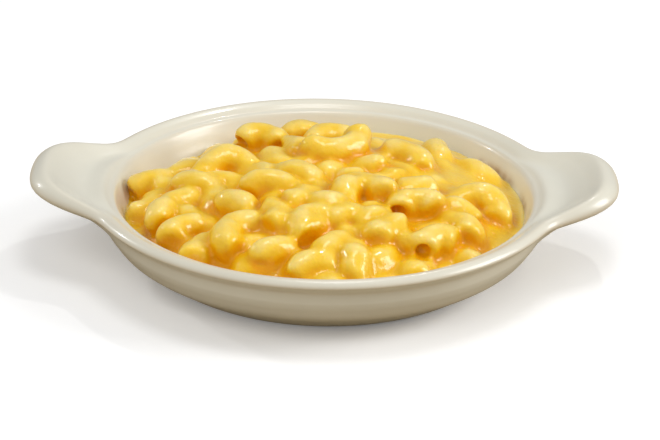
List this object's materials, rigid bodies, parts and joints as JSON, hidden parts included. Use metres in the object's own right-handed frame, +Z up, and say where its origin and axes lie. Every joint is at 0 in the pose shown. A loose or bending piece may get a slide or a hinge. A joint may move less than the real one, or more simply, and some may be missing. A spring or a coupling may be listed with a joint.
{
  "type": "mac and cheese",
  "caption": "Round glazed ceramic baking dish with an upturned ear at each side, filled with a low mound of elbow macaroni in smooth cheese sauce",
  "frame": {"origin": "On the surface that the dish stands on, under the middle of the dish", "axes": "+Z up; +X from the middle of the dish to one ear, so both ears lie on the X axis; +Y away from the side that the mound leans from"},
  "size_m": [0.2, 0.1596, 0.0378],
  "materials": {
    "glaze": "glossy ivory glaze over stoneware",
    "cheese": null
  },
  "bodies": {
    "root": {"dish": "glaze", "macaroni": "cheese"}
  },
  "joints": []
}
